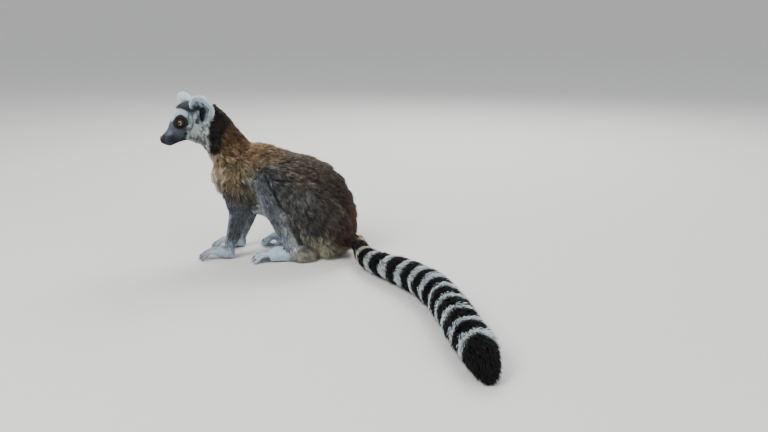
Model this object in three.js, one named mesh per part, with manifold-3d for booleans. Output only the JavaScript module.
// A life-size ring-tailed lemur (Lemur catta), sitting with its hands on the ground and its tail laid out.
//
// Millimetres, +Z up. The animal faces -X and its left side is towards -Y. The origin is on the ground,
// under the middle of the whole animal. Every solid reaches out to the tips of the coat. The body is a row
// of lofts, and each one is cut back by those before it, so that the nodes meet with a thin gap.

import * as THREE from "three";
import Module from "manifold-3d";

const wasm = await Module();
wasm.setup();

// ---- Driving dimensions, mm --------------------------------------------------------------------------

const GAP = 0.3; // between two nodes that meet
const FINEST = 0.12; // facets that differ by less than this are made one

const HEAD_AT = new THREE.Vector3(-108, -2, 250); // middle of the braincase
const HEAD_TURN = 33; // degrees to the animal's left
const EYE_RADIUS = 7.6;
const EYE_AT = { forward: 29.5, side: 15.5, up: -1.5 };
const SOCKET = { radius: 9, out: 6, turn: 38 }; // the opening each eye looks out of, turned outwards
const EAR = { long: 24, wide: 22.5, deep: 12, wall: 4, lean: 25, turn: 38 }; // half-sizes, and degrees
const EAR_AT = { side: 37, up: 23 };

const HAND_SIDE = 38; // the hands stand closer together than the feet
const RIGHT_ARM_BACK = 8; // the right hand is set down further back
const FOOT_SIDE = 54;
const TOE_SPLAY = 3; // degrees that each hind foot points outwards

const TAIL = { length: 610, root: 21, full: 28, tip: 70, lengths: 7 }; // root and full are radii
const TAIL_FROM = new THREE.Vector3(156, -4, 36);
const TAIL_FLAT = 1.6; // how far the tail's round underside is pressed into the ground

const LIMB_SIDES = 10;
const BODY_SIDES = 18;
const DIGIT_SIDES = 6;

// ---- Shape tools -------------------------------------------------------------------------------------

const rad = THREE.MathUtils.degToRad;

/** One cross-section: its centre, its half-width, and how far it reaches above and below the centre. */
const section = (x, y, z, wide, up, down = up) => ({
  at: new THREE.Vector3(x, y, z),
  size: new THREE.Vector3(wide, up, down),
});

/** The closed manifold made of rings of points, with a point at each end. */
function skinRings(first, rings, last) {
  const sides = rings[0].length;
  const points = [first, ...rings.flat(), last];
  const faces = [];
  const index = (ring, k) => 1 + ring * sides + (k % sides);
  for (let k = 0; k < sides; k++) {
    faces.push(0, index(0, k + 1), index(0, k));
    faces.push(points.length - 1, index(rings.length - 1, k), index(rings.length - 1, k + 1));
    for (let ring = 1; ring < rings.length; ring++) {
      const [a, b] = [index(ring - 1, k), index(ring - 1, k + 1)];
      const [c, d] = [index(ring, k), index(ring, k + 1)];
      faces.push(a, b, c, b, d, c);
    }
  }
  const vertProperties = new Float32Array(points.flatMap((p) => [p.x, p.y, p.z]));
  const build = (list) =>
    new wasm.Manifold(new wasm.Mesh({ numProp: 3, vertProperties, triVerts: new Uint32Array(list) }));
  const solid = build(faces);
  return solid.volume() > 0 ? solid : build(faces.reverse());
}

/**
 * A solid lofted through sections. Its upper side is the back of a body that runs forwards, and the front
 * of a limb that runs down. Its rings are square to its centre line, or to facing if that is given. The
 * ends are domes, as long as start and end say and with as many rings as domed says, and grow makes the
 * solid that much larger all round.
 */
function loft(sections, options = {}) {
  const { rings = 8, sides = LIMB_SIDES, start = 0, end = 0, domed = 2, facing = null, grow = 0 } = options;
  const line = new THREE.CatmullRomCurve3(sections.map((s) => s.at), false, "catmullrom", 0.5);
  const sizes = new THREE.CatmullRomCurve3(sections.map((s) => s.size), false, "catmullrom", 0.5);
  const level = new THREE.Vector3(...(options.across ?? [0, 1, 0]));
  const ahead = (t) => facing ?? line.getTangent(t);
  const place = (t, forward, shrink) => {
    const tangent = ahead(t);
    const side = level.clone().addScaledVector(tangent, -level.dot(tangent)).normalize();
    const up = side.clone().cross(tangent);
    const centre = line.getPoint(t).addScaledVector(tangent, forward);
    const size = sizes.getPoint(t).addScalar(grow).multiplyScalar(shrink);
    return Array.from({ length: sides }, (_, k) => {
      const turn = (2 * Math.PI * k) / sides;
      const rise = Math.sin(turn) > 0 ? size.y : size.z;
      return centre
        .clone()
        .addScaledVector(side, size.x * Math.cos(turn))
        .addScaledVector(up, rise * Math.sin(turn));
    });
  };
  const dome = (t, reach) =>
    Array.from({ length: reach === 0 ? 0 : domed }, (_, i) => {
      const lean = rad((90 * (i + 1)) / (domed + 1));
      return place(t, reach * Math.sin(lean), Math.cos(lean));
    });
  const tip = (t, reach) => line.getPoint(t).addScaledVector(ahead(t), reach);
  const [behind, before] = [-start - grow, end + grow];
  const body = Array.from({ length: rings + 1 }, (_, i) => place(i / rings, 0, 1));
  const rows = [...dome(0, start && behind).reverse(), ...body, ...dome(1, end && before)];
  return skinRings(tip(0, behind), rows, tip(1, before));
}

/** A round solid with the given half-sizes. */
function ellipsoid(x, y, z, centre, columns, rows) {
  const size = new THREE.Vector3(x, y, z);
  const at = (lean, turn) => new THREE.Vector3().setFromSphericalCoords(1, lean, turn);
  const upright = ({ x: east, y: height, z: south }) => new THREE.Vector3(east, south, height);
  const point = (lean, turn) => upright(at(lean, turn)).multiply(size).add(centre);
  const ring = (lean) => Array.from({ length: columns }, (_, k) => point(lean, (2 * Math.PI * k) / columns));
  const rings = Array.from({ length: rows - 1 }, (_, i) => ring((Math.PI * (i + 1)) / rows));
  return skinRings(point(0, 0), rings, point(Math.PI, 0));
}

const joined = (solids) => solids.reduce((a, b) => a.add(b));
const aboveGround = (solid) => solid.trimByPlane([0, 0, 1], 0);
const largest = (solid) => solid.decompose().sort((a, b) => b.volume() - a.volume())[0];

/** Parts a solid at a plane, with a gap: first what lies ahead of it, then what lies behind. */
function part(solid, normal, point) {
  const offset = normal.dot(point);
  const back = normal.clone().negate();
  return [
    solid.trimByPlane(normal.toArray(), offset + GAP / 2),
    solid.trimByPlane(back.toArray(), GAP / 2 - offset),
  ];
}

// ---- Coat colours ------------------------------------------------------------------------------------

const coat = (color) => new THREE.MeshStandardMaterial({ color, roughness: 0.9, metalness: 0 });
const COATS = {
  back: coat(0x7a6350),
  flank: coat(0x6b635c),
  limb: coat(0x77777a),
  pale: coat(0xc9cdcb),
  face: coat(0xd2d6d4),
  tail: coat(0x3a3a3d),
};
const IRIS = new THREE.MeshStandardMaterial({ color: 0xb8622b, roughness: 0.1, metalness: 0 });

// ---- The body's forms: functions of grow, so that a slightly larger copy can cut the neighbours 

/** The trunk, from the seat up over the curved back to the breast. */
const trunk = (grow) =>
  loft(
    [
      section(142, 0, 26, 44, 42, 56),
      section(130, 0, 72, 56, 58, 62),
      section(97, 0, 110, 60, 70, 68),
      section(47, 0, 134, 58, 63, 74),
      section(-4, 0, 150, 53, 60, 68),
      section(-42, 0, 160, 47, 54, 55),
    ],
    { rings: 12, sides: BODY_SIDES, start: 30, end: 40, grow },
  );

const neck = (grow) =>
  loft(
    [
      section(-38, 0, 176, 46, 43, 40),
      section(-62, 0, 205, 42, 42, 32),
      section(-86, 2, 232, 39, 46, 30),
      section(-105, 2, 258, 32, 42, 26),
    ],
    { rings: 5, sides: 16, end: 6, grow },
  );

/** Braincase, brow, cheeks and muzzle in one loft. The head faces -X in its own frame, about its middle. */
const head = (grow) =>
  loft(
    [
      section(36, 0, -2, 26, 30, 29),
      section(20, 0, -3, 36, 39, 41),
      section(0, 0, -3, 37.5, 40, 40),
      section(-15, 0, -2, 35, 38, 35),
      section(-28, 0, -3, 27, 33, 34),
      section(-37, 0, -10, 19.5, 28, 29.5),
      section(-44, 0, -20, 15, 22.5, 22.5),
      section(-50, 0, -27, 12.3, 15.5, 16.5),
      section(-56, 0, -29.5, 11, 12, 12),
      section(-62, 0, -30.5, 8.6, 7.5, 8.2),
    ],
    { rings: 14, sides: 18, start: 9, end: 4.5, facing: new THREE.Vector3(-1, 0, 0), grow },
  );

/** Sections of a limb: side is -1 on the left and 1 on the right, and back moves the limb backwards. */
const limb = (rows, side, back = 0) =>
  rows.map(([x, y, z, ...size]) => section(x + back, side * y, z, ...size));

const upperArm = (side, back, grow) =>
  loft(
    limb(
      [
        [-36, 36, 166, 20, 24, 26],
        [-36, 40, 138, 21, 25, 28],
        [-30, 41, 112, 20, 24, 26],
        [-27, HAND_SIDE + 2, 92, 18, 22, 21],
      ],
      side,
      back,
    ),
    { rings: 4, start: 12, end: 10, grow },
  );

const forearm = (side, back, grow) =>
  loft(
    limb(
      [
        [-27, HAND_SIDE + 2, 92, 17, 21, 21],
        [-34, HAND_SIDE + 1, 62, 15, 18, 17],
        [-43, HAND_SIDE, 36, 12, 14.5, 13],
        [-50, HAND_SIDE, 19, 11, 11, 11],
      ],
      side,
      back,
    ),
    { rings: 5, end: 5, domed: 1, grow },
  );

/** A finger or toe: it arches from its base over a high knuckle and down to its tip on the ground. */
function digit(base, turn, length, radius, grow) {
  const step = (share, z, scale) =>
    section(
      base.x - Math.cos(rad(turn)) * length * share,
      base.y + Math.sin(rad(turn)) * length * share,
      z,
      radius * scale + grow,
      radius * scale + grow,
    );
  const arch = [
    step(0, base.z, 1.05),
    step(0.45, base.z * 1.06, 1),
    step(0.8, base.z * 0.6, 0.95),
    step(1, radius * 0.72, 0.84),
  ];
  return loft(arch, { rings: 3, sides: DIGIT_SIDES, end: radius * 0.8, domed: 1 });
}

function hand(side, back, grow) {
  const palm = loft(
    limb(
      [
        [-44, HAND_SIDE, 17, 11, 9.5, 16],
        [-58, HAND_SIDE, 15, 13.5, 9, 15],
        [-71, HAND_SIDE + 1, 14, 14.5, 7.5, 9],
      ],
      side,
      back,
    ),
    { rings: 3, start: 4, end: 5, domed: 1, grow },
  );
  const fingers = [-15, -5, 6, 17].map((fan, k) => {
    const base = new THREE.Vector3(-72 + back, side * (HAND_SIDE - 9 + 6.6 * k), 14);
    return digit(base, side * fan, [26, 31, 30, 25][k], 4, grow);
  });
  const thumb = digit(new THREE.Vector3(-56 + back, side * (HAND_SIDE - 9), 9), side * -48, 23, 3.9, grow);
  return joined([palm, ...fingers, thumb]);
}

const thigh = (side, grow) =>
  loft(
    limb(
      [
        [21, FOOT_SIDE, 157, 22, 23, 24],
        [52, FOOT_SIDE + 2, 139, 27, 35, 36],
        [92, FOOT_SIDE, 107, 31, 45, 46],
        [126, FOOT_SIDE - 5, 70, 33, 50, 50],
        [143, FOOT_SIDE - 12, 42, 31, 42, 42],
      ],
      side,
    ),
    { rings: 6, sides: 12, start: 16, end: 26, grow },
  );

const shank = (side, grow) =>
  loft(
    limb(
      [
        [20, FOOT_SIDE + 1, 155, 20, 21, 22],
        [31, FOOT_SIDE + 2, 116, 20, 21, 25],
        [46, FOOT_SIDE + 2, 76, 17, 18, 20],
        [59, FOOT_SIDE + 1, 44, 13.5, 14, 15],
        [68, FOOT_SIDE, 22, 12.5, 13, 13],
      ],
      side,
    ),
    { rings: 5, end: 6, domed: 1, grow },
  );

function foot(side, grow) {
  const out = Math.tan(rad(TOE_SPLAY));
  const spread = (x) => FOOT_SIDE + (68 - x) * out;
  const sole = loft(
    limb(
      [
        [96, spread(96), 11, 10, 11, 12],
        [76, spread(76), 14, 12.5, 15, 15],
        [52, spread(52), 14, 14.5, 16, 15],
        [30, spread(30), 11, 16.5, 13, 12],
      ],
      side,
    ),
    { rings: 4, start: 6, end: 5, domed: 1, grow },
  );
  const toes = [-14, -5, 5, 15].map((fan, k) => {
    const base = new THREE.Vector3(30, side * (spread(30) - 9.5 + 7 * k), 15);
    return digit(base, side * (TOE_SPLAY + fan), [27, 31, 32, 28][k], 4.8, grow);
  });
  const bigToeBase = new THREE.Vector3(50, side * (spread(50) - 8), 11);
  const bigToe = digit(bigToeBase, side * (TOE_SPLAY - 46), 36, 6.2, grow);
  return joined([sole, ...toes, bigToe]);
}

// ---- The tail ----------------------------------------------------------------------------------------

/** The tail's heading in plan, degrees from +X towards the left side, at a share of its length. */
const tailHeading = (share) => {
  const swing = (low, high) => THREE.MathUtils.smoothstep(share, low, high);
  return 40 + 34 * swing(0, 0.12) - 20 * swing(0.12, 0.3) + 27 * swing(0.3, 0.7);
};
/** The outer radius of the coat round the tail: it swells along the tail and rounds off at the tip. */
const tailRadius = (share) => {
  const full = THREE.MathUtils.lerp(TAIL.root, TAIL.full, THREE.MathUtils.smoothstep(share, 0.05, 0.6));
  const intoTip = Math.max(0, 1 - (TAIL.length * (1 - share)) / TAIL.tip);
  return full * Math.sqrt(1 - 0.93 * intoTip ** 2);
};

/** The middle of the tail, from its root to its tip, laid down on the ground. */
function tailCourse() {
  const steps = 40;
  const point = TAIL_FROM.clone();
  const points = Array.from({ length: steps + 1 }, (_, i) => {
    const share = i / steps;
    const heading = rad(tailHeading(share));
    const ahead = new THREE.Vector3(Math.cos(heading), -Math.sin(heading), 0);
    if (i > 0) point.addScaledVector(ahead, TAIL.length / steps);
    const resting = tailRadius(share) - TAIL_FLAT;
    point.z = THREE.MathUtils.lerp(TAIL_FROM.z, resting, THREE.MathUtils.smoothstep(share, 0, 0.16));
    return point.clone();
  });
  return new THREE.CatmullRomCurve3(points);
}

/** The whole tail, parted into lengths by planes square to it. */
function tailLengths() {
  const course = tailCourse();
  const shares = Array.from({ length: 14 }, (_, i) => i / 15).concat([0.9, 0.94, 0.97, 0.99]);
  const sections = shares.map((share) => {
    const { x, y, z } = course.getPoint(share);
    return section(x, y, z, tailRadius(share), tailRadius(share));
  });
  const ends = { end: 6, domed: 1 };
  const whole = loft(sections, { rings: shares.length - 1, across: [1, 0, 0], ...ends });
  const lengths = [];
  let rest = whole;
  for (let i = 1; i < TAIL.lengths; i++) {
    const share = i / TAIL.lengths;
    const ahead = course.getTangent(share).setZ(0).normalize();
    const [beyond, length] = part(rest, ahead, course.getPoint(share));
    lengths.push(length);
    rest = beyond;
  }
  return [...lengths, rest];
}

// ---- Ears and eyes, in the head's own frame ----------------------------------------------------------

/** A cupped ear. Its hollow opens towards +Y of its own frame, and its tip is up. */
function ear(side) {
  const { long, wide, deep, wall, lean } = EAR;
  const outer = ellipsoid(wide, deep, long, new THREE.Vector3(), 14, 7);
  const opening = new THREE.Vector3(0, wall * 1.4, 0);
  const hollow = ellipsoid(wide - wall * 0.8, deep, long - wall * 0.8, opening, 12, 6);
  const cup = outer.subtract(hollow).trimByPlane([0, -1, 0], -deep * 0.35);
  const turn = new THREE.Euler(rad(-lean), 0, rad(90 - side * EAR.turn), "ZXY");
  const pose = new THREE.Matrix4().makeRotationFromEuler(turn);
  pose.setPosition(0, side * EAR_AT.side, EAR_AT.up);
  return cup.transform(pose.elements);
}

/** A ball on the axis that an eye looks along, so far out from the middle of the eyeball. */
function ballAtEye(side, radius, out) {
  const turn = rad(SOCKET.turn);
  const centre = new THREE.Vector3(
    -EYE_AT.forward - out * Math.cos(turn),
    side * (EYE_AT.side + out * Math.sin(turn)),
    EYE_AT.up,
  );
  return ellipsoid(radius, radius, radius, centre, 10, 6);
}

const eye = (side) => ballAtEye(side, EYE_RADIUS, 0);
const socket = (side) => ballAtEye(side, SOCKET.radius, SOCKET.out);
const eyeRoom = (side) => ballAtEye(side, EYE_RADIUS + GAP, 0).add(socket(side));

// ---- Assembly ----------------------------------------------------------------------------------------

const lemur = new THREE.Group();
const headGroup = new THREE.Group();
headGroup.position.copy(HEAD_AT);
headGroup.rotation.z = rad(HEAD_TURN);
headGroup.updateMatrix();
lemur.add(headGroup);

/** Cutters already placed, in the body's frame, each a little larger than its node. */
const placed = [];

function addNode(name, solid, material, group = lemur) {
  const mesh = solid.simplify(FINEST).getMesh();
  const geometry = new THREE.BufferGeometry();
  geometry.setAttribute("position", new THREE.BufferAttribute(Float32Array.from(mesh.vertProperties), 3));
  geometry.setIndex(new THREE.BufferAttribute(Uint32Array.from(mesh.triVerts), 1));
  geometry.computeVertexNormals();
  const node = new THREE.Mesh(geometry, material);
  node.name = name;
  group.add(node);
}

/** Cuts a form by all the cutters so far, keeps its main piece, and makes it a cutter for what follows. */
function carve(form) {
  const exact = placed.reduce((solid, cutter) => solid.subtract(cutter), aboveGround(form(0)));
  placed.push(form(GAP));
  return largest(exact);
}

const SIDES = { left: -1, right: 1 };
const inBody = (solid) => solid.transform(headGroup.matrix.elements);

// The head, with its sockets cut to the eyes, and the ears set on it.
const eyeRooms = joined(Object.values(SIDES).map(eyeRoom));
addNode("head", largest(head(0).subtract(eyeRooms)), COATS.face, headGroup);
for (const [word, side] of Object.entries(SIDES)) {
  addNode(`eye_${word}`, eye(side), IRIS, headGroup);
  addNode(`ear_${word}`, largest(ear(side).subtract(head(GAP))), COATS.face, headGroup);
}
placed.push(inBody(joined([head(GAP), ...Object.values(SIDES).map(ear)])));

// The trunk in three lengths, parted by planes that lean back from the upright.
const forwards = (lean) => new THREE.Vector3(-Math.cos(rad(lean)), 0, Math.sin(rad(lean)));
const [chest, behindChest] = part(carve(trunk), forwards(14), new THREE.Vector3(14, 0, 150));
const [belly, rump] = part(behindChest, forwards(38), new THREE.Vector3(119, 0, 110));
addNode("chest", chest, COATS.back);
addNode("belly", belly, COATS.back);
addNode("rump", rump, COATS.flank);
addNode("neck", carve(neck), COATS.back);

for (const [word, side] of Object.entries(SIDES)) {
  const back = side > 0 ? RIGHT_ARM_BACK : 0;
  addNode(`thigh_${word}`, carve((grow) => thigh(side, grow)), COATS.flank);
  addNode(`shank_${word}`, carve((grow) => shank(side, grow)), COATS.limb);
  addNode(`foot_${word}`, carve((grow) => foot(side, grow)), COATS.pale);
  addNode(`upper_arm_${word}`, carve((grow) => upperArm(side, back, grow)), COATS.back);
  addNode(`forearm_${word}`, carve((grow) => forearm(side, back, grow)), COATS.limb);
  addNode(`hand_${word}`, carve((grow) => hand(side, back, grow)), COATS.pale);
}

tailLengths().forEach((length, i) => {
  const cut = placed.reduce((left, cutter) => left.subtract(cutter), aboveGround(length));
  addNode(`tail_${i + 1}`, largest(cut), COATS.tail);
});

// The origin goes under the middle of the whole animal.
const box = new THREE.Box3().setFromObject(lemur, true);
lemur.position.set(-(box.min.x + box.max.x) / 2, -(box.min.y + box.max.y) / 2, -box.min.z);

export default lemur;
